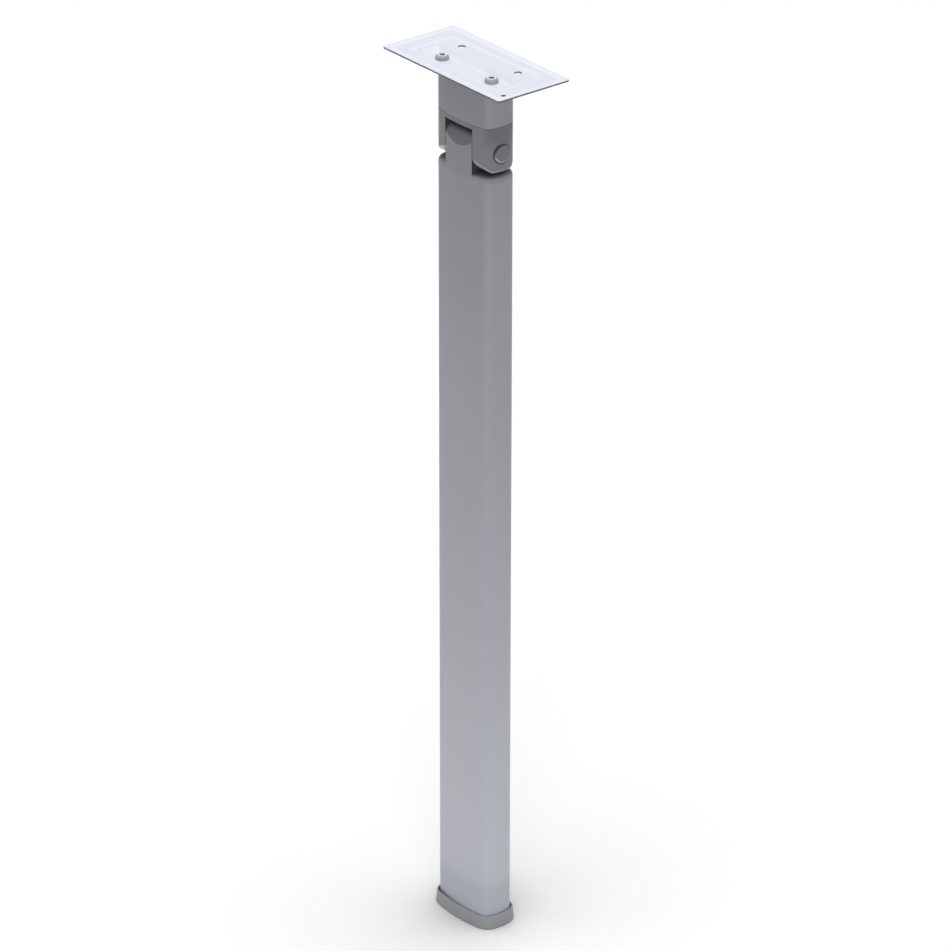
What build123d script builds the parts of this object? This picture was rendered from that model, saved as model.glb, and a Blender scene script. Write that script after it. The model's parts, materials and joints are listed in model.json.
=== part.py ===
from build123d import *
import os
from math import atan, cos, hypot, radians, sin, sqrt

os.makedirs("parts", exist_ok=True)

# A folding table leg that hangs from its mounting plate. Z is 0 on the plate's rim and points up,
# X runs along the plate and the fold axis, and the leg swings from -Z towards +Y. Millimetres.
LEG_HEIGHT = 700.0

# Barrel section of the leg tube, repeated by the collar and the tongue
BARREL_WIDTH = 61.9
BARREL_DEPTH = 33.0
LONG_FACE_BULGE = 3.5
END_FACE_BULGE = 2.95
BARREL_CORNER = 7.9
TUBE_WALL = 1.8

# Pressed mounting plate
PLATE_LENGTH = 132.3
PLATE_WIDTH = 65.0
PLATE_CORNER = 2.0
SHEET = 1.5
RIM_ROUND = 0.5
PRESSED_CORNER = 2.0
LIP_WIDTH = 3.0
LIP_SLOPE = 2.0
PANEL_DROP = 0.5
STEP_LENGTH = 103.4
STEP_WIDTH = 42.4
STEP_SLOPE = 3.4
STEP_DROP = 0.6
TRAY_LENGTH = 92.0
TRAY_FRONT = -17.7
TRAY_BACK = 1.6
TRAY_SLOPE = 2.2
TRAY_DEPTH = 4.0
TABLE_HOLE_SPACING = 63.6
TABLE_HOLE_Y = 13.0
TABLE_HOLE_RADIUS = 2.9
HANGING_HOLE_X = 59.2
HANGING_HOLE_Y = -22.6
HANGING_HOLE_RADIUS = 1.8

# Screws that hold the plate to the saddle
PLATE_SCREW_SPACING = 56.0
PLATE_SCREW_Y = -8.05
PLATE_SCREW_LENGTH = 6.0
M6_RADIUS = 3.0
BUTTON_HEAD_STEPS = [(5.0, 1.5), (4.85, 2.2), (4.4, 2.9), (3.6, 3.4)]
BUTTON_HEAD_HEIGHT = 3.4
SOCKET_FLATS = 4.0
SOCKET_DEPTH = 2.1
SHANK_CHAMFER = 0.5

# Saddle, the tapped strap between plate and collar
SADDLE_LENGTH = 78.0
SADDLE_FRONT = -16.0
SADDLE_BACK = 7.0
SADDLE_THICKNESS = 5.0
SADDLE_CORNER = 3.0
FORK_SCREW_SPACING = 30.0
FORK_SCREW_Y = -3.0
FORK_SCREW_LENGTH = 20.0
COUNTERSUNK_HEAD_RADIUS = 6.0

# Collar and fork
PIVOT_DROP = 59.9
COLLAR_WALL = 2.2
COLLAR_EDGE = 0.5
PLUG_TOP_GAP = 0.3
PLUG_CHAMFER = 1.0
TAP_RUNOUT = 1.0
BRIDGE_THICKNESS = 3.1
CEILING_GAP = 0.9
CHEEK_TIP_GAP = 0.3
CHEEK_TIP_FLAT = 2.1
CHEEK_TIP_ROUND = 3.0
CHEEK_EDGE = 1.5
FORK_SLOT = 30.6

# Tongue, the knuckle that is plugged into the tube
SIDE_GAP = 0.3
SHOULDER_HEIGHT = 5.2
SHOULDER_ROUND = 4.2
TONGUE_PLUG_LENGTH = 60.0
TONGUE_PLUG_WALL = 4.5
TONGUE_PLUG_CAP = 12.0

# Pivot pin with its screw, bushes and washers
PIN_RADIUS = 4.0
PIN_HEAD_RADIUS = 6.85
PIN_HEAD_STEPS = [(6.85, 1.0), (6.65, 1.5), (6.1, 1.8)]
PIN_HEAD_HEIGHT = 1.8
PIN_SEAT_DEPTH = 0.8
PIN_SEAT_MARGIN = 0.35
PIN_END_GAP = 1.0
PIN_THREAD_RADIUS = 2.5
PIN_THREAD_DEPTH = 26.0
PIN_SCREW_LENGTH = 22.0
BUSH_WALL = 1.2
BUSH_LENGTH = 11.0
FLANGE_RADIUS = 7.8
FLANGE_THICKNESS = 1.0
FLANGE_PROUD = 0.15
THRUST_WASHER_THICKNESS = 0.8
SPRING_SHEET = 0.5
SPRING_HEIGHT = 1.1
SPRING_INSET = 0.3

# Stop pin in the fork, which runs in a kidney slot of the tongue
FOLD_ANGLE = 90.0
STOP_PIN_RADIUS = 2.0
STOP_PIN_ORBIT = 11.6
STOP_PIN_ANGLE = 45.0
STOP_PIN_SEAT = 8.0
STOP_CLEARANCE = 0.3
STOP_PIN_RECESS = 1.7
STOP_PIN_CHAMFER = 0.3

# Rivets that hold the tongue in the tube, on the back face
RIVET_RADIUS = 2.4
RIVET_HEAD_STEPS = [(4.75, 0.4), (4.1, 1.0), (2.7, 1.5)]
RIVET_TAIL = 2.0
RIVET_DROPS = {"upper": 20.0, "lower": 44.0}

# Foot cap
SKIRT_HEIGHT = 10.8
SKIRT_OUTLINES = [(1.9, 0.0), (2.55, 0.35), (2.8, 1.0), (1.95, 10.4), (1.65, 10.8)]
SKIRT_GAP = 0.35
SKIRT_TURN = 1.4
SKIRT_RELIEF_TURN = 4.2
SOLE = 3.2
SOLE_RECESS = 1.4
SOLE_RIM = 5.0
SOLE_RIB = 1.6
SOLE_CELLS = 4
FOOT_PLUG_LENGTH = 26.0
FOOT_PLUG_INSET = 1.1
FOOT_PLUG_WALL = 2.2
FOOT_LIP_COUNT = 3
FOOT_LIP_THICKNESS = 1.2
FOOT_LIP_START = 5.2
FOOT_LIP_PITCH = 7.4

# Clearances shared by all pieces
FIT = 0.05
PLUG_FIT = 0.15
BOLT_CLEARANCE = 0.25
EPS = 0.5

# Heights and half sizes that follow from the above
FLOOR_Z = -LEG_HEIGHT
PIVOT_Z = -PIVOT_DROP
TONGUE_RADIUS = BARREL_DEPTH / 2
CEILING_Z = PIVOT_Z + TONGUE_RADIUS + CEILING_GAP
COLLAR_BOTTOM_Z = CEILING_Z + BRIDGE_THICKNESS
SADDLE_TOP_Z = -TRAY_DEPTH - SHEET
COLLAR_TOP_Z = SADDLE_TOP_Z - SADDLE_THICKNESS
SHOULDER_TOP_Z = PIVOT_Z - TONGUE_RADIUS
TUBE_TOP_Z = SHOULDER_TOP_Z - SHOULDER_HEIGHT
TUBE_BOTTOM_Z = FLOOR_Z + SOLE
CHEEK_TIP_RADIUS = TONGUE_RADIUS - CHEEK_TIP_GAP
CHEEK_BOTTOM_Z = PIVOT_Z - CHEEK_TIP_RADIUS + CHEEK_TIP_FLAT
CHEEK_OUTER_X = BARREL_WIDTH / 2
PIN_SEAT_X = CHEEK_OUTER_X - PIN_SEAT_DEPTH
SLOT_X = FORK_SLOT / 2
TONGUE_X = SLOT_X - SIDE_GAP
BUSH_RADIUS = PIN_RADIUS + FIT + BUSH_WALL
COUNTERBORE_RADIUS = FLANGE_RADIUS + PLUG_FIT


def arc_radius(half_chord, bulge):
    """Radius of an arc that rises by bulge over half its chord."""
    return (half_chord ** 2 + bulge ** 2) / (2 * bulge)


def barrel(inset=0.0):
    """Outline of the barrel section, moved inwards by inset or outwards by a negative one."""
    far_x = BARREL_WIDTH / 2 - inset
    far_y = BARREL_DEPTH / 2 - inset
    chord_x = BARREL_WIDTH / 2 - END_FACE_BULGE
    chord_y = BARREL_DEPTH / 2 - LONG_FACE_BULGE
    long_radius = arc_radius(chord_x, LONG_FACE_BULGE) - inset
    end_radius = arc_radius(chord_y, END_FACE_BULGE) - inset
    # The corner is where the long face's circle, centred below, meets the end face's circle
    right = far_x - end_radius
    below = long_radius - far_y
    apart = hypot(right, below)
    along = (long_radius ** 2 - end_radius ** 2 + apart ** 2) / (2 * apart)
    across = sqrt(long_radius ** 2 - along ** 2)
    x = (along * right + across * below) / apart
    y = (along * below - across * right) / apart - below
    outline = make_face([
        ThreePointArc((-x, y), (0, far_y), (x, y)),
        ThreePointArc((x, y), (far_x, 0), (x, -y)),
        ThreePointArc((x, -y), (0, -far_y), (-x, -y)),
        ThreePointArc((-x, -y), (-far_x, 0), (-x, y)),
    ])
    return fillet(outline.vertices(), BARREL_CORNER - inset)


def prism(outline, z_low, z_high):
    """Straight solid of an outline drawn on the XY plane, between two heights."""
    return extrude(Pos(0, 0, z_low) * outline, amount=z_high - z_low, dir=(0, 0, 1))


def slab(x_mid, y_mid, length, width, corner, z_low, z_high):
    """Block with rounded upright corners."""
    outline = RectangleRounded(length, width, corner) if corner > 0 else Rectangle(length, width)
    return prism(Pos(x_mid, y_mid) * outline, z_low, z_high)


def rod(radius, x_low, x_high, y=0.0, z=0.0):
    """Cylinder along X."""
    length = x_high - x_low
    return Pos((x_low + x_high) / 2, y, z) * Rot(0, 90, 0) * Cylinder(radius, length)


def hole_down(radius, x, y, z_low, z_high):
    """Cylinder along Z."""
    return Pos(x, y, (z_low + z_high) / 2) * Cylinder(radius, z_high - z_low)


def socket_cut(z_top):
    """Hexagon socket that opens upwards at z_top."""
    across_corners = SOCKET_FLATS / cos(radians(30))
    return prism(RegularPolygon(across_corners / 2, 6), z_top - SOCKET_DEPTH, z_top + EPS)


def stepped_head(steps):
    """Turned head that stands on z = 0; steps are the (radius, height) pairs of its outline."""
    outline = [(0, 0), (steps[0][0], 0), *steps, (0, steps[-1][1])]
    return revolve(Plane.XZ * make_face(Polyline(*outline, close=True)), Axis.Z)


def button_screw(shank_radius, length):
    """Button-head socket screw: the head stands on z = 0, the shank hangs below."""
    shank = hole_down(shank_radius, 0, 0, -length, 0)
    shank = chamfer(shank.edges().sort_by(Axis.Z)[0], SHANK_CHAMFER)
    return stepped_head(BUTTON_HEAD_STEPS) + shank - socket_cut(BUTTON_HEAD_HEIGHT)


def countersunk_screw(shank_radius, head_radius, length):
    """Countersunk socket screw: the head's top lies on z = 0."""
    cone_height = head_radius - shank_radius
    head = Pos(0, 0, -cone_height / 2) * Cone(shank_radius, head_radius, cone_height)
    shank = hole_down(shank_radius, 0, 0, -length, -cone_height / 2)
    shank = chamfer(shank.edges().sort_by(Axis.Z)[0], SHANK_CHAMFER)
    return head + shank - socket_cut(0)


def pressed(length, width, y_mid, slope, grow, z_top, z_floor):
    """Pressed level with sloping walls; grow moves them outwards for the sheet's underside."""
    top = RectangleRounded(length + 2 * grow, width + 2 * grow, PRESSED_CORNER + slope)
    inset = 2 * (slope - grow)
    floor = RectangleRounded(length - inset, width - inset, PRESSED_CORNER)
    return loft([Pos(0, y_mid, z_floor) * floor, Pos(0, y_mid, z_top) * top])


def mounting_plate():
    """Pressed sheet: a lip round the rim, a lower panel, a coined step and a tray for the screws."""
    panel_z = -PANEL_DROP
    step_z = panel_z - STEP_DROP
    panel = (PLATE_LENGTH - 2 * LIP_WIDTH, PLATE_WIDTH - 2 * LIP_WIDTH, 0, LIP_SLOPE)
    step = (STEP_LENGTH, STEP_WIDTH, 0, STEP_SLOPE)
    tray = (TRAY_LENGTH, TRAY_BACK - TRAY_FRONT, (TRAY_BACK + TRAY_FRONT) / 2, TRAY_SLOPE)
    levels = [(panel, 0, panel_z), (step, panel_z, step_z), (tray, step_z, -TRAY_DEPTH)]
    plate = slab(0, 0, PLATE_LENGTH, PLATE_WIDTH, PLATE_CORNER, -SHEET, 0)
    rim_edges = plate.edges().group_by(Axis.Z)[-1]
    plate = fillet(rim_edges, RIM_ROUND)
    for shape, high, low in levels:
        plate += pressed(*shape, SHEET / 2, high - SHEET / 2, low - SHEET)
    for shape, high, low in levels:
        plate -= pressed(*shape, 0, high, low)
    for side in (-1, 1):
        x = side * TABLE_HOLE_SPACING / 2
        plate -= hole_down(TABLE_HOLE_RADIUS, x, TABLE_HOLE_Y, SADDLE_TOP_Z, EPS)
        x = side * PLATE_SCREW_SPACING / 2
        plate -= hole_down(M6_RADIUS + BOLT_CLEARANCE, x, PLATE_SCREW_Y, SADDLE_TOP_Z - EPS, 0)
    plate -= hole_down(HANGING_HOLE_RADIUS, HANGING_HOLE_X, HANGING_HOLE_Y, SADDLE_TOP_Z, EPS)
    return plate


def plate_screw(side):
    """Socket screw that stands in the tray and is threaded into the saddle."""
    screw = button_screw(M6_RADIUS, PLATE_SCREW_LENGTH)
    return Pos(side * PLATE_SCREW_SPACING / 2, PLATE_SCREW_Y, -TRAY_DEPTH) * screw


def saddle_plate():
    """Flat strap under the tray, tapped for the plate screws and countersunk for the fork screws."""
    y_mid = (SADDLE_FRONT + SADDLE_BACK) / 2
    width = SADDLE_BACK - SADDLE_FRONT
    saddle = slab(0, y_mid, SADDLE_LENGTH, width, SADDLE_CORNER, COLLAR_TOP_Z, SADDLE_TOP_Z)
    head_depth = COUNTERSUNK_HEAD_RADIUS - M6_RADIUS
    for side in (-1, 1):
        x = side * PLATE_SCREW_SPACING / 2
        saddle -= hole_down(M6_RADIUS + FIT, x, PLATE_SCREW_Y, COLLAR_TOP_Z - EPS, SADDLE_TOP_Z + EPS)
        x = side * FORK_SCREW_SPACING / 2
        saddle -= hole_down(M6_RADIUS + FIT, x, FORK_SCREW_Y, COLLAR_TOP_Z - EPS, SADDLE_TOP_Z)
        sink = Cone(M6_RADIUS + FIT, COUNTERSUNK_HEAD_RADIUS + FIT, head_depth)
        saddle -= Pos(x, FORK_SCREW_Y, SADDLE_TOP_Z - head_depth / 2) * sink
    return saddle


def fork_screw(side):
    """Countersunk screw that pulls the fork's plug up against the saddle."""
    screw = countersunk_screw(M6_RADIUS, COUNTERSUNK_HEAD_RADIUS, FORK_SCREW_LENGTH)
    return Pos(side * FORK_SCREW_SPACING / 2, FORK_SCREW_Y, SADDLE_TOP_Z) * screw


def collar_sleeve():
    """Short length of the barrel extrusion, clamped between the saddle and the fork."""
    collar = prism(barrel(), COLLAR_BOTTOM_Z, COLLAR_TOP_Z)
    collar = chamfer(collar.edges().group_by(Axis.Z)[0], COLLAR_EDGE)
    collar -= prism(barrel(COLLAR_WALL), COLLAR_BOTTOM_Z - EPS, COLLAR_TOP_Z + EPS)
    for x in (-PLATE_SCREW_SPACING / 2, PLATE_SCREW_SPACING / 2):
        tip_z = -TRAY_DEPTH - PLATE_SCREW_LENGTH - EPS
        collar -= hole_down(M6_RADIUS + BOLT_CLEARANCE, x, PLATE_SCREW_Y, tip_z, COLLAR_TOP_Z + EPS)
    return collar


def cheek_blank():
    """Cheek profile seen along X: straight sides, an arc about the pivot and a flat tip."""
    half = CHEEK_TIP_RADIUS
    top_z = COLLAR_BOTTOM_Z - PIVOT_Z
    tip_z = CHEEK_BOTTOM_Z - PIVOT_Z
    tip_y = sqrt(half ** 2 - tip_z ** 2)
    middle = atan(-tip_z / tip_y) / 2
    profile = make_face([
        Line((-half, top_z), (half, top_z)),
        Line((half, top_z), (half, 0)),
        ThreePointArc((half, 0), (half * cos(middle), -half * sin(middle)), (tip_y, tip_z)),
        Line((tip_y, tip_z), (-tip_y, tip_z)),
        ThreePointArc((-tip_y, tip_z), (-half * cos(middle), -half * sin(middle)), (-half, 0)),
        Line((-half, 0), (-half, top_z)),
    ])
    profile = fillet(profile.vertices().sort_by(Axis.Y)[:2], CHEEK_TIP_ROUND)
    blank = extrude(Plane.YZ * profile, amount=CHEEK_OUTER_X, both=True)
    return Pos(0, 0, PIVOT_Z) * blank


def hinge_fork():
    """Casting with a plug inside the collar, a bridge under it and two cheeks that carry the pin."""
    fork = cheek_blank() & prism(barrel(), CHEEK_BOTTOM_Z - EPS, COLLAR_BOTTOM_Z)
    lower_edges = fork.edges().filter_by(lambda edge: edge.position_at(0.5).Z < PIVOT_Z - EPS)
    fork = fillet(lower_edges.filter_by(GeomType.LINE, reverse=True), CHEEK_EDGE)
    slot_depth = 2 * BARREL_DEPTH
    slot_height = CEILING_Z - CHEEK_BOTTOM_Z + 2 * EPS
    slot_mid = CEILING_Z - slot_height / 2
    fork -= Pos(0, 0, slot_mid) * Box(FORK_SLOT, slot_depth, slot_height)
    plug_top = COLLAR_TOP_Z - PLUG_TOP_GAP
    plug = prism(barrel(COLLAR_WALL + PLUG_FIT), COLLAR_BOTTOM_Z, plug_top)
    plug = chamfer(plug.edges().group_by(Axis.Z)[-1], PLUG_CHAMFER)
    fork += plug
    for side in (-1, 1):
        x = side * FORK_SCREW_SPACING / 2
        low = SADDLE_TOP_Z - FORK_SCREW_LENGTH - TAP_RUNOUT
        fork -= hole_down(M6_RADIUS + FIT, x, FORK_SCREW_Y, low, plug_top + EPS)
        x = side * PLATE_SCREW_SPACING / 2
        tip_z = -TRAY_DEPTH - PLATE_SCREW_LENGTH - EPS
        fork -= hole_down(M6_RADIUS + BOLT_CLEARANCE, x, PLATE_SCREW_Y, tip_z, plug_top + EPS)
    fork -= rod(PIN_RADIUS + FIT, -CHEEK_OUTER_X - EPS, CHEEK_OUTER_X + EPS, 0, PIVOT_Z)
    seat_radius = PIN_HEAD_RADIUS + PIN_SEAT_MARGIN
    fork -= rod(seat_radius, PIN_SEAT_X, CHEEK_OUTER_X + EPS, 0, PIVOT_Z)
    fork -= rod(seat_radius, -CHEEK_OUTER_X - EPS, -PIN_SEAT_X, 0, PIVOT_Z)
    y, z = stop_pin_place()
    fork -= rod(STOP_PIN_RADIUS + FIT, -CHEEK_OUTER_X - EPS, SLOT_X + STOP_PIN_SEAT + FIT, y, z)
    return fork


def stop_pin_place():
    """Y and Z of the stop pin, behind and above the pivot."""
    y = STOP_PIN_ORBIT * sin(radians(STOP_PIN_ANGLE))
    z = PIVOT_Z + STOP_PIN_ORBIT * cos(radians(STOP_PIN_ANGLE))
    return y, z


def stop_pin():
    """Plain dowel across the fork that ends the swing both ways."""
    y, z = stop_pin_place()
    pin = rod(STOP_PIN_RADIUS, -CHEEK_OUTER_X + STOP_PIN_RECESS, SLOT_X + STOP_PIN_SEAT, y, z)
    return chamfer(pin.edges().filter_by(GeomType.CIRCLE), STOP_PIN_CHAMFER)


def pin_head(side):
    """Disc head with a rounded rim, standing on the spot face of a cheek's end."""
    return Pos(side * PIN_SEAT_X, 0, PIVOT_Z) * Rot(0, side * 90, 0) * stepped_head(PIN_HEAD_STEPS)


def pivot_pin():
    """Sleeve nut: a headed pin through both cheeks, threaded inside from its open end."""
    tail_x = -PIN_SEAT_X + PIN_END_GAP
    pin = rod(PIN_RADIUS, tail_x, PIN_SEAT_X, 0, PIVOT_Z) + pin_head(1)
    return pin - rod(PIN_THREAD_RADIUS + FIT, tail_x - EPS, tail_x + PIN_THREAD_DEPTH, 0, PIVOT_Z)


def pin_screw():
    """Screw with a matching disc head that closes the sleeve from the other end."""
    screw = pin_head(-1)
    screw += rod(PIN_THREAD_RADIUS, -PIN_SEAT_X, -PIN_SEAT_X + PIN_SCREW_LENGTH, 0, PIVOT_Z)
    socket = Pos(-PIN_SEAT_X - PIN_HEAD_HEIGHT, 0, PIVOT_Z) * Rot(0, -90, 0) * socket_cut(0)
    return screw - socket


def bush(side, outer_x):
    """Flanged bush pressed into the tongue; outer_x is where its flange ends."""
    inner_x = outer_x - FLANGE_THICKNESS - BUSH_LENGTH
    body = rod(FLANGE_RADIUS, outer_x - FLANGE_THICKNESS, outer_x, 0, PIVOT_Z)
    body += rod(BUSH_RADIUS, inner_x, outer_x, 0, PIVOT_Z)
    body -= rod(PIN_RADIUS + FIT, inner_x - EPS, outer_x + EPS, 0, PIVOT_Z)
    return body if side > 0 else mirror(body, about=Plane.YZ)


def right_flange_x():
    """Outer face of the flange on the right."""
    return TONGUE_X + FLANGE_PROUD


def left_flange_x():
    """Distance of the left flange's outer face, under the two washers."""
    return TONGUE_X + FLANGE_PROUD - THRUST_WASHER_THICKNESS - SPRING_HEIGHT


def thrust_washer():
    """Flat washer that rubs on the left cheek."""
    outer = -TONGUE_X - FLANGE_PROUD
    inner = outer + THRUST_WASHER_THICKNESS
    washer = rod(FLANGE_RADIUS, outer, inner, 0, PIVOT_Z)
    return washer - rod(PIN_RADIUS + 2 * FIT, outer - EPS, inner + EPS, 0, PIVOT_Z)


def spring_washer():
    """Curved spring washer: a ring cut from a thin arched strip."""
    radius = FLANGE_RADIUS - SPRING_INSET
    rise = SPRING_HEIGHT - SPRING_SHEET - 2 * FIT
    bend = (radius ** 2 + rise ** 2) / (2 * rise)
    low_x = -left_flange_x() - SPRING_HEIGHT + FIT
    ring = rod(radius, low_x - EPS, low_x + SPRING_HEIGHT + EPS, 0, PIVOT_Z)
    ring -= rod(PIN_RADIUS + 4 * FIT, low_x - 2 * EPS, low_x + SPRING_HEIGHT + 2 * EPS, 0, PIVOT_Z)
    arch = Cylinder(bend + SPRING_SHEET, 4 * radius) - Cylinder(bend, 5 * radius)
    return ring & Pos(low_x + bend + SPRING_SHEET, 0, PIVOT_Z) * arch


def kidney_slot():
    """Slot about the pivot that the stop pin travels through, from one stop to the other."""
    half = STOP_PIN_RADIUS + STOP_CLEARANCE
    # Seen along X, the pin stands at one end at rest and at the other when the leg is folded
    path = CenterArc((0, 0), STOP_PIN_ORBIT, 90 - STOP_PIN_ANGLE - FOLD_ANGLE, FOLD_ANGLE)
    outline = Plane.YZ * SlotArc(path, 2 * half)
    return Pos(0, 0, PIVOT_Z) * extrude(outline, amount=TONGUE_X + EPS, both=True)


def hinge_tongue():
    """Casting that turns in the fork: a round-topped knuckle, a shoulder and a plug in the tube."""
    shoulder = prism(barrel(), TUBE_TOP_Z, SHOULDER_TOP_Z)
    shoulder = fillet(shoulder.edges().group_by(Axis.Z)[-1], SHOULDER_ROUND)
    column = prism(barrel(), TUBE_TOP_Z, PIVOT_Z)
    crown = prism(barrel(), PIVOT_Z, PIVOT_Z + TONGUE_RADIUS + EPS)
    crown &= rod(TONGUE_RADIUS, -BARREL_WIDTH, BARREL_WIDTH, 0, PIVOT_Z)
    between_cheeks = Pos(0, 0, PIVOT_Z) * Box(2 * TONGUE_X, 2 * BARREL_DEPTH, 4 * BARREL_DEPTH)
    knuckle = (column + crown) & between_cheeks
    plug_bottom = TUBE_TOP_Z - TONGUE_PLUG_LENGTH
    plug = prism(barrel(TUBE_WALL + PLUG_FIT), plug_bottom, TUBE_TOP_Z)
    plug = chamfer(plug.edges().group_by(Axis.Z)[0], PLUG_CHAMFER)
    pocket = prism(barrel(TUBE_WALL + TONGUE_PLUG_WALL), plug_bottom - EPS, TUBE_TOP_Z - TONGUE_PLUG_CAP)
    web = Pos(0, 0, plug_bottom) * Box(TONGUE_PLUG_WALL, BARREL_DEPTH, 4 * TONGUE_PLUG_LENGTH)
    tongue = shoulder + knuckle + plug - (pocket - web)
    tongue -= rod(BUSH_RADIUS + FIT / 2, -TONGUE_X - EPS, TONGUE_X + EPS, 0, PIVOT_Z)
    right_seat = right_flange_x() - FLANGE_THICKNESS
    left_seat = left_flange_x() - FLANGE_THICKNESS
    tongue -= rod(COUNTERBORE_RADIUS, right_seat, TONGUE_X + EPS, 0, PIVOT_Z)
    tongue -= rod(COUNTERBORE_RADIUS, -TONGUE_X - EPS, -left_seat, 0, PIVOT_Z)
    tongue -= kidney_slot()
    for drop in RIVET_DROPS.values():
        tongue -= rivet_hole(drop)
    return tongue


def rivet_hole(drop):
    """Hole along Y through the back wall of the tube and of the plug."""
    depth = TUBE_WALL + PLUG_FIT + TONGUE_PLUG_WALL + RIVET_TAIL
    centre_y = BARREL_DEPTH / 2 - depth / 2 + EPS / 2
    place = Pos(0, centre_y, TUBE_TOP_Z - drop) * Rot(90, 0, 0)
    return place * Cylinder(RIVET_RADIUS + FIT, depth + EPS)


def tongue_rivet(drop):
    """Blind rivet with a domed head on the tube's back face."""
    depth = TUBE_WALL + TONGUE_PLUG_WALL + RIVET_TAIL / 2
    shank = Pos(0, 0, -depth / 2) * Cylinder(RIVET_RADIUS, depth)
    rivet = stepped_head(RIVET_HEAD_STEPS) + shank
    return Pos(0, BARREL_DEPTH / 2, TUBE_TOP_Z - drop) * Rot(-90, 0, 0) * rivet


def leg_tube():
    """Barrel-section tube from the tongue's shoulder down into the foot cap."""
    tube = prism(barrel(), TUBE_BOTTOM_Z, TUBE_TOP_Z)
    tube -= prism(barrel(TUBE_WALL), TUBE_BOTTOM_Z - EPS, TUBE_TOP_Z + EPS)
    for drop in RIVET_DROPS.values():
        tube -= rivet_hole(drop)
    return tube


def foot_cap():
    """Moulded cap: a flared skirt round the tube, a ribbed sole and a lipped plug inside."""
    outlines = [
        Pos(0, 0, FLOOR_Z + height) * Rot(0, 0, SKIRT_TURN) * barrel(-proud)
        for proud, height in SKIRT_OUTLINES
    ]
    cap = loft(outlines, ruled=True)
    opening = prism(barrel(-SKIRT_GAP), TUBE_BOTTOM_Z, FLOOR_Z + SKIRT_HEIGHT + EPS)
    cap -= opening
    # The skirt stands off the tube at two corners, as if the cap had been turned on it
    cap -= Rot(0, 0, SKIRT_RELIEF_TURN) * opening
    plug_top = TUBE_BOTTOM_Z + FOOT_PLUG_LENGTH
    plug = prism(barrel(TUBE_WALL + FOOT_PLUG_INSET), TUBE_BOTTOM_Z - EPS, plug_top)
    for index in range(FOOT_LIP_COUNT):
        lip_z = TUBE_BOTTOM_Z + FOOT_LIP_START + index * FOOT_LIP_PITCH
        plug += prism(barrel(TUBE_WALL + PLUG_FIT), lip_z, lip_z + FOOT_LIP_THICKNESS)
    plug -= prism(barrel(TUBE_WALL + FOOT_PLUG_INSET + FOOT_PLUG_WALL), TUBE_BOTTOM_Z, plug_top + EPS)
    cap += plug
    recess = prism(barrel(SOLE_RIM), FLOOR_Z - EPS, FLOOR_Z + SOLE_RECESS)
    recess -= Pos(0, 0, FLOOR_Z) * Box(2 * BARREL_WIDTH, SOLE_RIB, 4 * SOLE)
    pitch = BARREL_WIDTH / SOLE_CELLS
    for index in range(1, SOLE_CELLS):
        rib_x = -BARREL_WIDTH / 2 + index * pitch
        recess -= Pos(rib_x, 0, FLOOR_Z) * Box(SOLE_RIB, 2 * BARREL_DEPTH, 4 * SOLE)
    return cap - recess


nodes = {
    "mounting_plate": mounting_plate(),
    "plate_screw_left": plate_screw(-1),
    "plate_screw_right": plate_screw(1),
    "saddle_plate": saddle_plate(),
    "fork_screw_left": fork_screw(-1),
    "fork_screw_right": fork_screw(1),
    "collar_sleeve": collar_sleeve(),
    "hinge_fork": hinge_fork(),
    "stop_pin": stop_pin(),
    "pivot_pin": pivot_pin(),
    "pin_screw": pin_screw(),
    "pivot_bush_left": bush(-1, left_flange_x()),
    "pivot_bush_right": bush(1, right_flange_x()),
    "spring_washer": spring_washer(),
    "thrust_washer": thrust_washer(),
    "hinge_tongue": hinge_tongue(),
    "leg_tube": leg_tube(),
    "foot_cap": foot_cap(),
}
for place, drop in RIVET_DROPS.items():
    nodes[f"tongue_rivet_{place}"] = tongue_rivet(drop)

for name, shape in nodes.items():
    export_step(shape, f"parts/{name}.step")
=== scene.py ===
"""Dresses a folding table leg: coats, plating and plastic on its pieces, in a pale studio."""

from __future__ import annotations

import json
import logging
import math
from collections.abc import Callable
from dataclasses import dataclass
from enum import Enum

import bpy
from mathutils import Matrix, Vector


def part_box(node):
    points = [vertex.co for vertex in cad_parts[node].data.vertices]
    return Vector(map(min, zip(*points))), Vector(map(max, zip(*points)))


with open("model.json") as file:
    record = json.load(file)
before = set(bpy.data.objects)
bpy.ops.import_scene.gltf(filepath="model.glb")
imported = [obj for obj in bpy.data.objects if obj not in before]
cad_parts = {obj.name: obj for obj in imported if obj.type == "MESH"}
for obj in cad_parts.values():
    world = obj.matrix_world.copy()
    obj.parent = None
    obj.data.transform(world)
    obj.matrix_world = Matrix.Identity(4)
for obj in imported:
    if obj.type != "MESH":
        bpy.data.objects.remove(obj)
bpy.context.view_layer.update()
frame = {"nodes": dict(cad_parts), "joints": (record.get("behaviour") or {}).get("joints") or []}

log = logging.getLogger("table_leg")

Colour = tuple[float, float, float]
Point = tuple[float, float, float]
Span = tuple[float, float]

PIVOT: Point = tuple(frame["joints"][0]["pos_m"])
CAP_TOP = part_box("foot_cap")[1][2]
ORIGIN: Point = (0.0, 0.0, 0.0)
WHITE: Colour = (1.0, 1.0, 1.0)
BLACK: Colour = (0.0, 0.0, 0.0)


class Grain(Enum):
    """How a surface was made, which sets the marks that its finish shows."""

    DRAWN = "drawn"
    CAST = "cast"
    PRESSED = "pressed"
    TURNED = "turned"
    MOULDED = "moulded"


@dataclass(frozen=True)
class Speckle:
    """A noise pattern.

    Attributes:
        scale: features per metre.
        detail: octaves.
        rough: strength of the finer octaves.
        stretch: what each axis is multiplied by, so that a small number draws it out.
    """

    scale: float
    detail: float
    rough: float = 0.5
    stretch: Point = (1.0, 1.0, 1.0)


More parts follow.
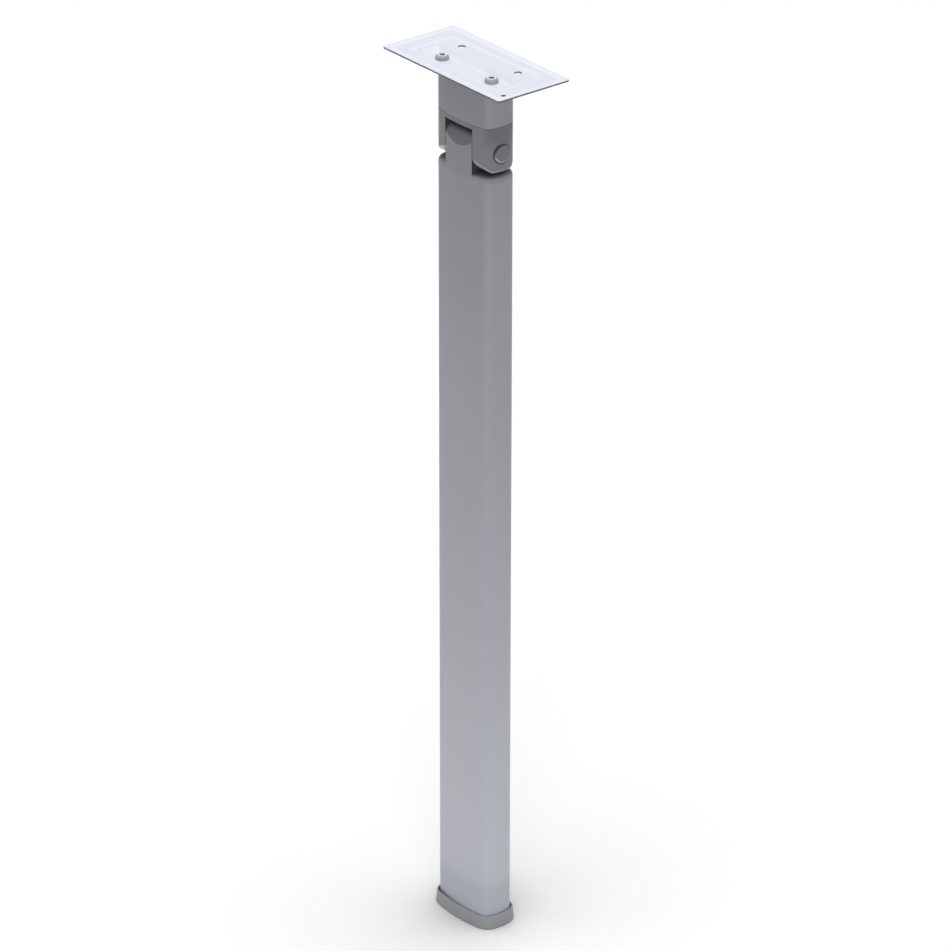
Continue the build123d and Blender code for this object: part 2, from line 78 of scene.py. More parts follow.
@dataclass(frozen=True)
class Texture:
    """The patterns of one way of making a surface.

    Attributes:
        fine: its finest marks.
        cloud: share of the broad cloud in its colour patches; the fine marks are the rest.
        lines: marks that run one way, if it has them.
        line_share: share of those lines, or of the turned rings, in the marks.
    """

    fine: Speckle
    cloud: float
    lines: Speckle | None = None
    line_share: float = 0.0


CLOUD = Speckle(14.0, 3.0, 0.55)
DRAW_LINES = Speckle(900.0, 3.0, 0.6, stretch=(1.0, 1.0, 0.012))
ROLL_LINES = Speckle(420.0, 2.0, stretch=(0.02, 1.0, 1.0))
RING_PITCH = 0.00028
ROUGHNESS_SWING = 0.35
TEXTURES = {
    Grain.DRAWN: Texture(Speckle(2600.0, 1.0), 0.6, DRAW_LINES, 0.55),
    Grain.CAST: Texture(Speckle(950.0, 4.0, 0.6), 0.6),
    Grain.PRESSED: Texture(Speckle(1500.0, 2.0), 0.7, ROLL_LINES, 0.3),
    Grain.TURNED: Texture(Speckle(1800.0, 2.0), 0.5, line_share=0.6),
    Grain.MOULDED: Texture(Speckle(2300.0, 2.0, 0.65), 0.5),
}


class Value:
    """A number or colour socket of a shader graph that takes part in Python sums."""

    def __init__(self, graph: Graph, socket: bpy.types.NodeSocket) -> None:
        """Wraps one output socket.

        Args:
            graph: the graph that new Math nodes go to.
            socket: the output to wrap.
        """
        self.graph = graph
        self.socket = socket

    def __add__(self, other: Value | float) -> Value:
        """Sum."""
        return self.graph.math("ADD", self, other)

    def __radd__(self, other: float) -> Value:
        """Sum with the number first."""
        return self.graph.math("ADD", other, self)

    def __sub__(self, other: Value | float) -> Value:
        """Difference."""
        return self.graph.math("SUBTRACT", self, other)

    def __rsub__(self, other: float) -> Value:
        """Difference with the number first."""
        return self.graph.math("SUBTRACT", other, self)

    def __mul__(self, other: Value | float) -> Value:
        """Product."""
        return self.graph.math("MULTIPLY", self, other)

    def __rmul__(self, other: float) -> Value:
        """Product with the number first."""
        return self.graph.math("MULTIPLY", other, self)

    def __abs__(self) -> Value:
        """Size without the sign."""
        return self.graph.math("ABSOLUTE", self)


class Graph:
    """A node tree under construction."""

    def __init__(self, tree: bpy.types.NodeTree) -> None:
        """Empties the tree.

        Args:
            tree: the tree of a material or of the world.
        """
        self.tree = tree
        tree.nodes.clear()

    def node(
        self,
        kind: str,
        settings: dict[str, object] | None = None,
        inputs: dict[str | int, object] | None = None,
    ) -> bpy.types.Node:
        """Adds one node.

        Args:
            kind: the node's type.
            settings: properties, set before the sockets.
            inputs: socket name or index to a number, colour, Value or output socket.

        Returns:
            The new node.
        """
        made = self.tree.nodes.new(kind)
        for name, value in (settings or {}).items():
            setattr(made, name, value)
        for name, value in (inputs or {}).items():
            self.feed(made.inputs[name], value)
        return made

    def feed(self, socket: bpy.types.NodeSocket, value: object) -> None:
        """Links or sets an input.

        Args:
            socket: the input.
            value: a Value, an output socket, a number, a colour or a vector.
        """
        if isinstance(value, Value):
            value = value.socket
        if isinstance(value, bpy.types.NodeSocket):
            self.tree.links.new(value, socket)
        elif socket.type == "RGBA":
            socket.default_value = (*value, 1.0)
        else:
            socket.default_value = value

    def math(self, operation: str, first: Value | float, second: Value | float = 0.0) -> Value:
        """Adds a Math node.

        Args:
            operation: the node's operation.
            first: first operand.
            second: second operand, unused by one-sided operations.

        Returns:
            The result.
        """
        made = self.node("ShaderNodeMath", {"operation": operation}, {0: first, 1: second})
        return Value(self, made.outputs[0])

    def vector_math(
        self, operation: str, first: bpy.types.NodeSocket, second: Point = ORIGIN
    ) -> bpy.types.Node:
        """Adds a Vector Math node.

        Args:
            operation: the node's operation.
            first: first operand.
            second: second operand, unused by one-sided operations.

        Returns:
            The node.
        """
        return self.node("ShaderNodeVectorMath", {"operation": operation}, {0: first, 1: second})

    def mix(self, factor: Value, low: Value | Colour, high: Value | Colour) -> Value:
        """Blends two colours.

        Args:
            factor: 0 gives low and 1 gives high.
            low: a colour.
            high: a colour.

        Returns:
            The blended colour.
        """
        made = self.node("ShaderNodeMix", {"data_type": "RGBA"}, {0: factor, 6: low, 7: high})
        return Value(self, made.outputs[2])

    def mix_shader(
        self, factor: Value, low: bpy.types.Node, high: bpy.types.Node
    ) -> bpy.types.Node:
        """Blends two shaders.

        Args:
            factor: 0 gives low and 1 gives high.
            low: a shader node.
            high: a shader node.

        Returns:
            The blending node.
        """
        inputs = {0: factor, 1: low.outputs[0], 2: high.outputs[0]}
        return self.node("ShaderNodeMixShader", {}, inputs)

    def step(self, value: Value, span: Span) -> Value:
        """Smooth step from 0 to 1, upwards or downwards.

        Args:
            value: what the step follows.
            span: where it leaves 0 and where it reaches 1.

        Returns:
            The share.
        """
        low, high = sorted(span)
        inputs = {"Value": value, "From Min": low, "From Max": high, "To Min": 0.0, "To Max": 1.0}
        made = self.node("ShaderNodeMapRange", {"interpolation_type": "SMOOTHSTEP"}, inputs)
        rise = Value(self, made.outputs["Result"])
        return rise if span[0] < span[1] else 1 - rise

    def part(self, output: str, axis: str) -> Value:
        """One component of the object's coordinates or of its normal.

        Args:
            output: "Object", in metres in the row frame, or "Normal".
            axis: "X", "Y" or "Z".

        Returns:
            The component.
        """
        raw = self.node("ShaderNodeTexCoord").outputs[output]
        return Value(self, self.node("ShaderNodeSeparateXYZ", {}, {0: raw}).outputs[axis])

    def aside(self) -> Value:
        """Distance from the leg's middle plane, along the pivot."""
        return abs(self.part("Object", "X"))

    def above_pivot(self) -> Value:
        """Height above the pivot."""
        return self.part("Object", "Z") - PIVOT[2]

    def level(self) -> Value:
        """1 where a face looks straight up or down, and 0 where it is upright."""
        return abs(self.part("Normal", "Z"))

    def noise(self, speckle: Speckle) -> Value:
        """Noise around 0.5.

        Args:
            speckle: its pattern.

        Returns:
            The noise.
        """
        raw = self.node("ShaderNodeTexCoord").outputs["Object"]
        where = self.vector_math("MULTIPLY", raw, speckle.stretch).outputs[0]
        inputs = {"Vector": where, "Scale": speckle.scale, "Detail": speckle.detail}
        made = self.node("ShaderNodeTexNoise", {}, {**inputs, "Roughness": speckle.rough})
        return Value(self, made.outputs[0])

    def radius(self, centre: Point, across: Point) -> Value:
        """Distance from an axis through a point.

        Args:
            centre: a point on the axis.
            across: 0 along the axis and 1 across it.

        Returns:
            The distance in metres.
        """
        raw = self.node("ShaderNodeTexCoord").outputs["Object"]
        shift = self.vector_math("SUBTRACT", raw, centre)
        flat = self.vector_math("MULTIPLY", shift.outputs[0], across)
        return Value(self, self.vector_math("LENGTH", flat.outputs[0]).outputs["Value"])

    def from_pivot(self) -> Value:
        """Distance from the pivot's axis."""
        return self.radius(PIVOT, (0.0, 1.0, 1.0))

    def bump(self, height: Value, depth: float) -> bpy.types.NodeSocket:
        """Turns a height into a normal.

        Args:
            height: height from 0 to 1.
            depth: what 1 stands for, in metres.

        Returns:
            The Bump node's normal.
        """
        made = self.node("ShaderNodeBump", {}, {"Height": height, "Distance": depth})
        return made.outputs["Normal"]


def blend(first: Value, second: Value, share: float) -> Value:
    """Weighted mean of two patterns.

    Args:
        first: a pattern.
        second: another pattern.
        share: weight of the first.

    Returns:
        The mean.
    """
    return first * share + second * (1 - share)


@dataclass(frozen=True)
class Zone:
    """Part of a surface with a tone of its own, such as painted shade or a painted highlight.

    Attributes:
        mask: makes the zone's share at a point, 0 outside it and 1 inside it.
        colour: its colour, linear.
        roughness: its mean roughness.
        metallic: its metallic value.
    """

    mask: Callable[[Graph], Value]
    colour: Colour
    roughness: float
    metallic: float = 0.0


@dataclass(frozen=True)
class Finish:
    """A surface finish with the marks of how the piece was made.

    Attributes:
        name: name of the material.
        colour: main colour, linear.
        shade: colour of the darker patches, linear.
        roughness: mean roughness.
        grain: how the surface was made.
        depth: depth of its marks in metres.
        metallic: mean metallic value.
        zones: parts with a tone of their own, painted light and shade among them, the later ones
            over the earlier.
    """

    name: str
    colour: Colour
    shade: Colour
    roughness: float
    grain: Grain
    depth: float
    metallic: float = 0.0
    zones: tuple[Zone, ...] = ()

    def material(self) -> bpy.types.Material:
        """Builds the material.

        Returns:
            The finished material.
        """
        made = bpy.data.materials.new(self.name)
        made.use_nodes = True
        graph = Graph(made.node_tree)
        marks, patches = self._marks(graph)
        tone = graph.mix(patches, self.shade, self.colour)
        rough = self.roughness + (marks - 0.5) * (ROUGHNESS_SWING * self.roughness)
        metallic: Value | float = self.metallic
        for zone in self.zones:
            share = zone.mask(graph)
            tone = graph.mix(share, tone, zone.colour)
            rough = rough + share * (zone.roughness - self.roughness)
            if zone.metallic != self.metallic:
                metallic = metallic + share * (zone.metallic - self.metallic)
        inputs = {
            "Base Color": tone,
            "Roughness": rough,
            "Metallic": metallic,
            "Normal": graph.bump(marks, self.depth),
        }
        shader = graph.node("ShaderNodeBsdfPrincipled", {}, inputs)
        graph.node("ShaderNodeOutputMaterial", {}, {"Surface": shader.outputs[0]})
        return made

    def _marks(self, graph: Graph) -> tuple[Value, Value]:
        """Pattern of the marks and of the colour patches.

        Args:
            graph: the material's graph.

        Returns:
            The height of the marks and the share of the main colour, both 0 to 1.
        """
        texture = TEXTURES[self.grain]
        fine = graph.noise(texture.fine)
        marks = fine
        if texture.lines is not None:
            marks = blend(graph.noise(texture.lines), fine, texture.line_share)
        elif self.grain is Grain.TURNED:
            waves = graph.math("SINE", graph.from_pivot() * (2 * math.pi / RING_PITCH))
            marks = blend(waves * 0.5 + 0.5, fine, texture.line_share)
        return marks, blend(graph.noise(CLOUD), fine, texture.cloud)


def dress(nodes: tuple[str, ...], finish: Finish) -> None:
    """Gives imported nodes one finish.

    Args:
        nodes: names of the nodes.
        finish: what they wear.
    """
    material = finish.material()
    for name in nodes:
        for slot in frame["nodes"][name].material_slots:
            slot.material = material
        log.info("%s wears %s", name, material.name)


@dataclass
class Barrel:
    """What the pieces with the leg's barrel section share.

    Here and in the classes below, a span says where a tone starts and where it is full, and
    runs downwards where the second number is the smaller. Lengths are in metres.

    Attributes:
        facing: span of how squarely a face looks forwards or back, up to a long face.
        darker: span of height up which painted shade darkens the long faces.
        undercut: span of the normal's upward part that tells a round or a chamfer that
            looks down.
    """

    facing: Span = (0.60, 0.96)
    darker: Span = (-0.2650, -0.0900)
    undercut: Span = (-0.08, -0.35)

    def long_face_shade(self, graph: Graph) -> Value:
        """Upper stretch of the two long faces, darkened towards the top by painted shade that
        leaves a lighter band at the corners.
        """
        squarely = graph.step(abs(graph.part("Normal", "Y")), self.facing)
        return squarely * graph.step(graph.part("Object", "Z"), self.darker)

    def underside_highlight(self, graph: Graph) -> Value:
        """Rounds and chamfers that look down, which get a painted highlight, a painted reflection
        of the bright floor.
        """
        return graph.step(graph.part("Normal", "Z"), self.undercut)


@dataclass
class MountingHead(Barrel):
    """Plate, its screws, the saddle and the collar.

    Attributes:
        rim: span of height up to the rim that bears on the table.
        slope: span of how level a face is, down to the sloping walls of the pressing.
        cut: span of how level a face is, down to the upright cut edges.
        holes_aside: span aside that holds the two holes for the table's screws.
        holes_across: the same across the plate.
        flat: span of how level a face is, up to the flat tops of the screws.
    """

    rim: Span = (-0.0004, -0.0001)
    slope: Span = (0.992, 0.975)
    cut: Span = (0.55, 0.25)
    holes_aside: Span = (0.0450, 0.0440)
    holes_across: Span = (0.0313, 0.0308)
    flat: Span = (0.95, 0.99)

    def build(self) -> None:
        """Dresses the head."""
        dress(("mounting_plate",), self._plate_coat())
        screws = ("plate_screw_left", "plate_screw_right", "fork_screw_left", "fork_screw_right")
        dress((*screws, "saddle_plate"), self._steel())
        dress(("collar_sleeve",), self._collar_coat())

    def _plate_coat(self) -> Finish:
        """Pale coat of the plate, darker on its upright edges, with painted light on the rim, the
        sloping walls and the walls of the two holes.

        Returns:
            The finish.
        """
        return Finish(
            name="pale_plate_coat",
            colour=(0.755, 0.782, 0.87),
            shade=(0.715, 0.742, 0.835),
            roughness=0.42,
            grain=Grain.PRESSED,
            depth=6e-6,
            zones=(
                Zone(self._sloping_wall_light, (0.86, 0.88, 0.94), 0.40),
                Zone(self._rim_light, (0.79, 0.82, 0.90), 0.40),
                Zone(self._cut_edge, (0.18, 0.185, 0.20), 0.50),
                Zone(self._hole_wall_light, (0.46, 0.47, 0.49), 0.50),
            ),
        )

    def _collar_coat(self) -> Finish:
        """Silver coat of the collar, with painted shade on its long faces and a painted highlight
        on its lower chamfer.

        Returns:
            The finish.
        """
        return Finish(
            name="silver_collar_coat",
            colour=(0.475, 0.493, 0.537),
            shade=(0.437, 0.455, 0.499),
            roughness=0.42,
            grain=Grain.DRAWN,
            depth=4e-6,
            zones=(
                Zone(self.long_face_shade, (0.405, 0.418, 0.457), 0.42),
                Zone(self.underside_highlight, (0.72, 0.74, 0.78), 0.38),
            ),
        )

    def _steel(self) -> Finish:
        """Zinc plating, with a painted highlight on the flat tops of the screws and the saddle,
        pale and not metallic.

        Returns:
            The finish.
        """
        return Finish(
            name="zinc_steel",
            colour=(0.40, 0.408, 0.43),
            shade=(0.33, 0.338, 0.36),
            roughness=0.33,
            grain=Grain.CAST,
            depth=3e-6,
            metallic=0.85,
            zones=(Zone(self._flat_top_highlight, (0.74, 0.75, 0.77), 0.30),),
        )

    def _sloping_wall_light(self, graph: Graph) -> Value:
        """Walls of the pressing, and all that is steeper, painted lighter as if lit."""
        return graph.step(graph.level(), self.slope)

    def _rim_light(self, graph: Graph) -> Value:
        """The rim, which stands highest, painted lighter as if lit."""
        return graph.step(graph.part("Object", "Z"), self.rim)

    def _cut_edge(self, graph: Graph) -> Value:
        """Upright edges of the sheet."""
        return graph.step(graph.level(), self.cut)

    def _hole_wall_light(self, graph: Graph) -> Value:
        """Walls of the two holes for the table's screws, painted lighter than the other upright
        edges as if lit.
        """
        across = graph.step(abs(graph.part("Object", "Y")), self.holes_across)
        return graph.step(graph.aside(), self.holes_aside) * across * self._cut_edge(graph)

    def _flat_top_highlight(self, graph: Graph) -> Value:
        """Level faces of the screws and the saddle, painted pale as a highlight."""
        return graph.step(graph.level(), self.flat)


@dataclass
class FoldHinge(Barrel):
    """Fork, tongue, pivot pin, bushes, washers and stop pin.

    Heights are above the pivot and distances aside are from the leg's middle plane.

    Attributes:
        crown_edge: span of height at the lower edge of the crown's painted shade, in its middle.
        crown_bow: how much that edge rises aside, per square of the distance.
        crown_side: span aside in which the crown ends at the tongue's flank.
        crown_top: span of height up to the crown's darkest painted shade, under the bridge.
        shoulder: span of height up to the flat of the shoulders.
        flank: span aside from the crown to the tongue's flank and all beyond it.
        slot_wall: span aside that holds the fork's inner walls.
        slot_top: span of height down from the bridge to those walls.
        slot_beyond: span aside from the slot to all beyond it.
        pin_seat: span of distance from the pivot's axis that holds the seat of the head.
        seat_slant: span up and back from the pivot that holds the seat's shaded side.
        slant: part of the height and of the distance back that counts on that slant.
        cheek_end: span aside to the end face of a cheek.
        cheek_top: span of height up which the end face grows darker.
        upper_round: span of the normal's upward part on the pin head's upper edge.
    """

    crown_edge: Span = (0.0011, 0.0015)
    crown_bow: float = 25.6
    crown_side: Span = (0.0149, 0.0147)
    crown_top: Span = (0.0094, 0.0131)
    shoulder: Span = (-0.0197, -0.0166)
    flank: Span = (0.01485, 0.01495)
    slot_wall: Span = (0.0156, 0.01545)
    slot_top: Span = (0.0175, 0.0171)
    slot_beyond: Span = (0.01505, 0.01545)
    pin_seat: Span = (0.0086, 0.0076)
    seat_slant: Span = (0.0050, 0.0010)
    slant: float = 0.7
    cheek_end: Span = (0.0235, 0.0290)
    # cheek_top: span of height up which painted shade darkens the end face.
    cheek_top: Span = (0.0009, 0.0159)
    upper_round: Span = (0.15, 0.40)

    def build(self) -> None:
        """Dresses the hinge."""
        dress(("hinge_fork",), self._fork_coat())
        dress(("hinge_tongue",), self._tongue_coat())
        dress(("pivot_pin", "pin_screw", "stop_pin"), self._pin_plating())
        dress(("pivot_bush_left", "pivot_bush_right"), self._bush_plastic())
        dress(("spring_washer", "thrust_washer"), self._spring_steel())

    def _fork_coat(self) -> Finish:
        """Dark coat of the fork, with a painted highlight on its lower rounds and painted shade
        on the cheeks' end faces, round the pin's head and on the walls of the slot.

        Returns:
            The finish.
        """
        return Finish(
            name="dark_cast_coat",
            colour=(0.305, 0.31, 0.335),
            shade=(0.27, 0.275, 0.30),
            roughness=0.36,
            grain=Grain.CAST,
            depth=9e-6,
            zones=(
                Zone(self.underside_highlight, (0.68, 0.69, 0.71), 0.34),
                Zone(self._cheek_end_shade, (0.225, 0.23, 0.25), 0.40),
                Zone(self._seat, (0.05, 0.05, 0.055), 0.50),
                Zone(self._slot_shade, (0.08, 0.08, 0.088), 0.60),
            ),
        )

    def _tongue_coat(self) -> Finish:
        """Silver coat of the tongue, with painted shade on the crown and the shoulders.

        Returns:
            The finish.
        """
        return Finish(
            name="silver_cast_coat",
            colour=(0.388, 0.402, 0.44),
            shade=(0.35, 0.364, 0.402),
            roughness=0.44,
            grain=Grain.CAST,
            depth=7e-6,
            zones=(
                Zone(self._shoulder_shade, (0.06, 0.06, 0.065), 0.60),
                Zone(self._crown_shade, (0.185, 0.19, 0.205), 0.42),
                Zone(self._crown_top_shade, (0.03, 0.03, 0.033), 0.70),
            ),
        )

    def _pin_plating(self) -> Finish:
        """Turned pins with a fine ring pattern, with painted shade on the head's upper rounds and
        a painted highlight on its lower ones.

        Returns:
            The finish.
        """
        return Finish(
            name="turned_pin_steel",
            colour=(0.27, 0.275, 0.29),
            shade=(0.235, 0.24, 0.255),
            roughness=0.34,
            grain=Grain.TURNED,
            depth=3e-6,
            zones=(
                Zone(self._upper_round_shade, (0.10, 0.10, 0.11), 0.40),
                Zone(self.underside_highlight, (0.85, 0.86, 0.88), 0.30),
            ),
        )

    def _bush_plastic(self) -> Finish:
        """Dark plastic of the bushes.

        Returns:
            The finish.
        """
        return Finish(
            name="dark_bush_plastic",
            colour=(0.035, 0.035, 0.04),
            shade=(0.025, 0.025, 0.03),
            roughness=0.5,
            grain=Grain.MOULDED,
            depth=4e-6,
        )

    def _spring_steel(self) -> Finish:
        """Bare strip of the washers.

        Returns:
            The finish.
        """
        return Finish(
            name="spring_steel",
            colour=(0.30, 0.30, 0.32),
            shade=(0.22, 0.22, 0.24),
            roughness=0.36,
            grain=Grain.DRAWN,
            depth=3e-6,
            metallic=0.9,
        )

    def _cheek_end_shade(self, graph: Graph) -> Value:
        """Upper part of the cheeks' end faces, darkened by painted shade under the collar."""
        at_end = graph.step(graph.aside(), self.cheek_end)
        return at_end * graph.step(graph.above_pivot(), self.cheek_top)

    def _seat(self, graph: Graph) -> Value:
        """Spot face round the pin's head, where the head shades it.

        Args:
            graph: the material's graph.

        Returns:
            The share of the seat.
        """
        back = graph.part("Object", "Y") * self.slant + graph.above_pivot() * self.slant
        seat = graph.step(graph.from_pivot(), self.pin_seat)
        shaded = graph.step(back, self.seat_slant)
        return seat * shaded * graph.step(graph.aside(), self.slot_beyond)

    def _slot_shade(self, graph: Graph) -> Value:
        """Inner walls of the fork, below the bridge, near black with painted shade."""
        below = graph.step(graph.above_pivot(), self.slot_top)
        return graph.step(graph.aside(), self.slot_wall) * below

    def _shoulder_shade(self, graph: Graph) -> Value:
        """Top of the shoulders and the flanks beside them, near black with painted shade under
        the cheeks.
        """
        top = graph.step(graph.above_pivot(), self.shoulder)
        return top * graph.step(graph.aside(), self.flank)

    def _crown_shade(self, graph: Graph) -> Value:
        """Round top of the tongue, darkened by painted shade under the bridge.

        Args:
            graph: the material's graph.

        Returns:
            The share of the crown.
        """
        aside = graph.aside()
        over_edge = graph.above_pivot() - aside * aside * self.crown_bow
        return graph.step(over_edge, self.crown_edge) * graph.step(aside, self.crown_side)

    def _crown_top_shade(self, graph: Graph) -> Value:
        """Top of the crown, under the bridge, near black with painted shade."""
        return graph.step(graph.above_pivot(), self.crown_top)

    def _upper_round_shade(self, graph: Graph) -> Value:
        """Rounds that look up, darkened by painted shade."""
        return graph.step(graph.part("Normal", "Z"), self.upper_round)


@dataclass
class TubeAndFoot(Barrel):
    """Leg tube with its rivets, and the foot cap.

    Attributes:
        last_stretch: span of height above the cap, down to the end of the tube, which painted
            shade darkens.
    """

    last_stretch: Span = (0.0148, 0.0018)

    def build(self) -> None:
        """Dresses the tube and the foot."""
        dress(("leg_tube",), self._tube_coat())
        dress(("tongue_rivet_upper", "tongue_rivet_lower"), self._rivet_metal())
        dress(("foot_cap",), self._foot_plastic())

    def _tube_coat(self) -> Finish:
        """Silver coat of the tube, with painted shade on its long faces and just above the foot
        cap.

        Returns:
            The finish.
        """
        return Finish(
            name="silver_leg_coat",
            colour=(0.468, 0.486, 0.53),
            shade=(0.43, 0.448, 0.492),
            roughness=0.42,
            grain=Grain.DRAWN,
            depth=4e-6,
            zones=(
                Zone(self._last_stretch_shade, (0.40, 0.42, 0.475), 0.42),
                Zone(self.long_face_shade, (0.405, 0.42, 0.457), 0.42),
            ),
        )

    def _rivet_metal(self) -> Finish:
        """Plain aluminium of the rivets.

        Returns:
            The finish.
        """
        return Finish(
            name="rivet_aluminium",
            colour=(0.52, 0.53, 0.56),
            shade=(0.45, 0.46, 0.49),
            roughness=0.38,
            grain=Grain.CAST,
            depth=3e-6,
            metallic=0.7,
        )

    def _foot_plastic(self) -> Finish:
        """Grey plastic of the foot cap.

        Returns:
            The finish.
        """
        return Finish(
            name="grey_foot_plastic",
            colour=(0.305, 0.308, 0.325),
            shade=(0.265, 0.268, 0.282),
            roughness=0.52,
            grain=Grain.MOULDED,
            depth=9e-6,
        )

    def _last_stretch_shade(self, graph: Graph) -> Value:
        """End of the tube above the foot cap, darkened by painted shade."""
        return graph.step(graph.part("Object", "Z") - CAP_TOP, self.last_stretch)


def toward(turn: float, rise: float) -> Vector:
    """Direction from the leg to something that looks at it.

    Args:
        turn: azimuth in degrees, 0 where it looks along +Y.
        rise: elevation in degrees.

    Returns:
        The unit vector.
    """
    turn, rise = math.radians(turn), math.radians(rise)
    reach = math.cos(rise)
    return Vector((math.sin(turn) * reach, -math.cos(turn) * reach, math.sin(rise)))


def add_object(name: str, data: bpy.types.ID) -> bpy.types.Object:
    """Adds an object to the scene.

    Args:
        name: its name.
        data: its mesh, lamp or camera.

    Returns:
        The object.
    """
    made = bpy.data.objects.new(name, data)
    bpy.context.scene.collection.objects.link(made)
    return made


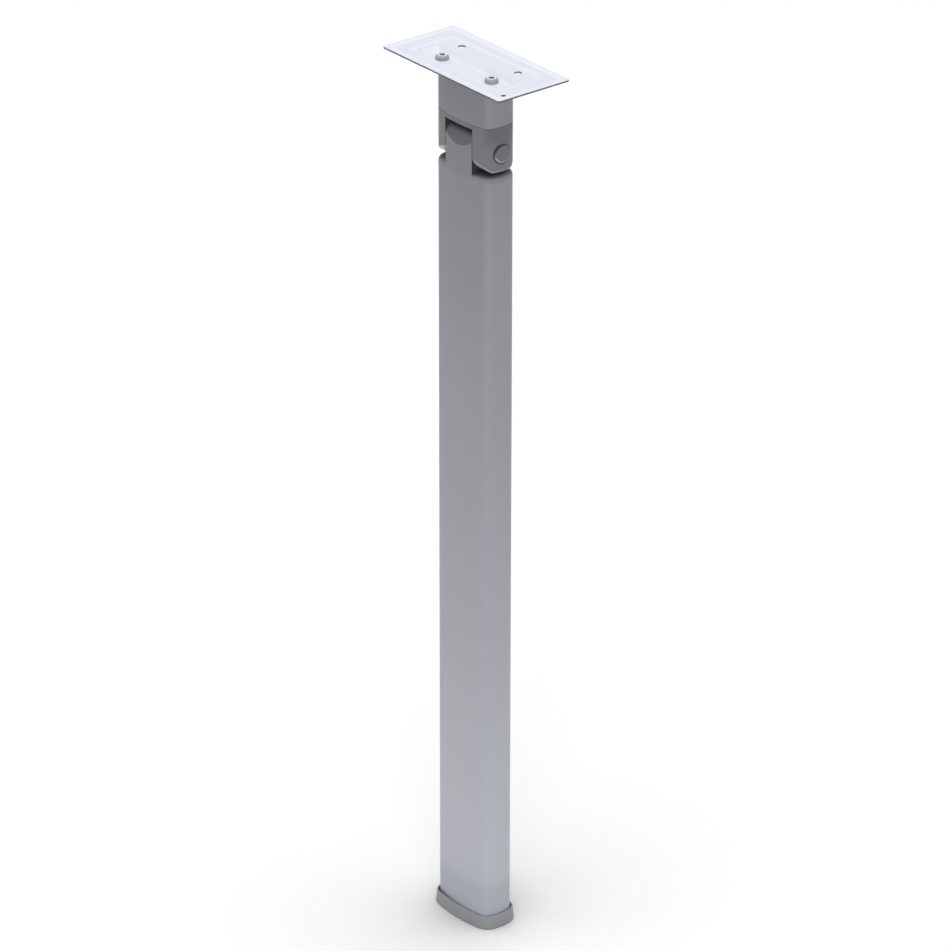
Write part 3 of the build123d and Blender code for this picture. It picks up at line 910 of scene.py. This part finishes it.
@dataclass
class Studio:
    """Floor, even light from above and the camera at the photograph's angle.

    Lengths are in metres and angles in degrees.

    Attributes:
        azimuth: camera azimuth, 0 looking along +Y.
        elevation: camera elevation.
        roll: how far the camera leans.
        distance: from the camera to its target.
        aside: offset of the target across the view.
        target_z: height of the target.
        lens: focal length in millimetres.
        sensor: width of the sensor in millimetres.
        clip: nearest and farthest distance that the camera shows.
        floor_half: half the side of the floor.
        floor_z: height of the floor.
        zenith: strength of the sky straight above.
        overhead: power by which the sky rises from the horizon to there.
        glow_near: strength with which the floor glows near the leg, a painted pool of light for
            the rays that don't show the floor.
        bounce_far: how much of the light the floor throws back far from it.
        pool: distances between which the first turns into the second.
        foot_dip: how much the floor's light drops right at the foot.
        dip_reach: distance over which it recovers.
        shown_floor: albedo of the floor as the camera sees it.
        shade: how dark the floor gets where the leg hides it from the open sky.
        shade_reach: how far away something still hides it.
        shade_samples: rays for that per sample.
        front_turn: azimuth of the soft box.
        front_rise: elevation of the soft box.
        front_distance: from the soft box to the leg.
        front_size: side of the soft box.
        front_power: its power in watts.
    """

    azimuth: float = 51.187
    elevation: float = 26.528
    roll: float = 0.055
    distance: float = 4.022283
    aside: float = 0.000228
    target_z: float = -0.32819
    lens: float = 206.352
    sensor: float = 36.0
    clip: Span = (0.1, 100.0)
    floor_half: float = 8.0
    floor_z: float = -0.7
    zenith: float = 3.18
    overhead: float = 4.5
    glow_near: float = 1.6
    bounce_far: float = 0.05
    pool: Span = (0.2, 1.0)
    foot_dip: float = 0.35
    dip_reach: float = 0.25
    shown_floor: float = 1.0
    shade: float = 0.75
    shade_reach: float = 0.8
    shade_samples: int = 5
    front_turn: float = 51.0
    front_rise: float = 20.0
    front_distance: float = 3.0
    front_size: float = 1.4
    front_power: float = 20.0

    def build(self) -> None:
        """Makes the floor, the light and the camera."""
        bpy.context.scene.view_settings.view_transform = "Standard"
        self._world()
        self._floor()
        self._front_lamp()
        self._camera()

    def _shown_ray(self, graph: Graph) -> Value:
        """1 for rays that show the background.

        Args:
            graph: the graph of the floor or the world.

        Returns:
            The mask.
        """
        path = graph.node("ShaderNodeLightPath")
        camera = Value(graph, path.outputs["Is Camera Ray"])
        glossy = Value(graph, path.outputs["Is Glossy Ray"])
        through = Value(graph, path.outputs["Is Transmission Ray"])
        return graph.math("MAXIMUM", graph.math("MAXIMUM", camera, glossy), through)

    def _world(self) -> None:
        """White to look at; as a light, brighter overhead than at the horizon."""
        world = bpy.data.worlds.new("studio")
        bpy.context.scene.world = world
        world.use_nodes = True
        graph = Graph(world.node_tree)
        way = graph.node("ShaderNodeTexCoord").outputs["Generated"]
        height = Value(graph, graph.node("ShaderNodeSeparateXYZ", {}, {0: way}).outputs["Z"])
        rise = graph.math("MAXIMUM", height, 0.0)
        strength = graph.math("POWER", rise, self.overhead) * self.zenith
        light = graph.node("ShaderNodeBackground", {}, {"Color": WHITE, "Strength": strength})
        shown = graph.node("ShaderNodeBackground", {}, {"Color": WHITE, "Strength": 1.0})
        both = graph.mix_shader(self._shown_ray(graph), light, shown)
        graph.node("ShaderNodeOutputWorld", {}, {"Surface": both.outputs[0]})

    def _floor(self) -> None:
        """A plain sheet that shows white and glows near the foot, a painted pool of light for the
        other rays.
        """
        mesh = bpy.data.meshes.new("floor")
        half = self.floor_half
        corners = [(-half, -half, 0.0), (half, -half, 0.0), (half, half, 0.0), (-half, half, 0.0)]
        mesh.from_pydata(corners, [], [(0, 1, 2, 3)])
        mesh.materials.append(self._floor_material())
        floor = add_object("floor", mesh)
        floor.location.z = self.floor_z
        log.info("floor laid at %.3f m", self.floor_z)

    def _floor_material(self) -> bpy.types.Material:
        """Makes the floor's material.

        Returns:
            White for the rays that show it, a pool of light for the others, and shade by the leg.
        """
        material = bpy.data.materials.new("pale_floor")
        material.use_nodes = True
        graph = Graph(material.node_tree)
        reach = graph.radius(ORIGIN, (1.0, 1.0, 0.0))
        by_foot = graph.step(reach, (self.dip_reach, 0.0)) * self.foot_dip
        spread = graph.math("MAXIMUM", graph.step(reach, self.pool), by_foot)
        # The floor glows near the foot, a painted pool of light in place of light thrown back,
        # though it is no lamp.
        pool = {"Color": WHITE, "Strength": self.glow_near}
        glow = graph.node("ShaderNodeEmission", {}, pool)
        dim = graph.node("ShaderNodeBsdfDiffuse", {}, {"Color": (self.bounce_far,) * 3})
        glow_and_bounce = graph.mix_shader(spread, glow, dim)
        shown = graph.node("ShaderNodeBsdfDiffuse", {}, {"Color": (self.shown_floor,) * 3})
        both = graph.mix_shader(self._shown_ray(graph), glow_and_bounce, shown)
        settings = {"samples": self.shade_samples}
        sky = graph.node("ShaderNodeAmbientOcclusion", settings, {"Distance": self.shade_reach})
        hidden = (1 - Value(graph, sky.outputs["AO"])) * self.shade
        black = graph.node("ShaderNodeBsdfDiffuse", {}, {"Color": BLACK})
        shaded = graph.mix_shader(hidden, both, black)
        graph.node("ShaderNodeOutputMaterial", {}, {"Surface": shaded.outputs[0]})
        return material

    def _front_lamp(self) -> None:
        """A soft box beside the camera, which picks out the corner between the faces in view."""
        way = toward(self.front_turn, self.front_rise)
        data = bpy.data.lights.new("front_soft_box", "AREA")
        data.shape = "SQUARE"
        data.size = self.front_size
        data.energy = self.front_power
        lamp = add_object("front_soft_box", data)
        lamp.location = way * self.front_distance + Vector((0.0, 0.0, self.target_z))
        lamp.rotation_mode = "QUATERNION"
        lamp.rotation_quaternion = (-way).to_track_quat("-Z", "Y")
        lamp.visible_camera = False
        lamp.visible_glossy = False

    def _camera(self) -> None:
        """Places the camera where the photograph was taken from."""
        back = toward(self.azimuth, self.elevation)
        turn, lean = math.radians(self.azimuth), math.radians(self.roll)
        right = Vector((math.cos(turn), math.sin(turn), 0.0))
        upward = back.cross(right)
        view_right = right * math.cos(lean) + upward * math.sin(lean)
        view_up = upward * math.cos(lean) - right * math.sin(lean)
        target = right * self.aside + Vector((0.0, 0.0, self.target_z))
        data = bpy.data.cameras.new("camera")
        data.sensor_width = self.sensor
        data.lens = self.lens
        data.clip_start, data.clip_end = self.clip
        camera = add_object("camera", data)
        camera.location = target + back * self.distance
        camera.rotation_mode = "QUATERNION"
        axes = Matrix((view_right, view_up, back)).transposed()
        camera.rotation_quaternion = axes.to_quaternion()
        bpy.context.scene.camera = camera


def main() -> None:
    """Dresses the leg from the plate down, then builds the studio."""
    logging.basicConfig(level=logging.INFO, format="%(name)s: %(message)s")
    for assembly in (MountingHead(), FoldHinge(), TubeAndFoot(), Studio()):
        assembly.build()
        log.info("%s finished", type(assembly).__name__)


if __name__ == "__main__":
    main()
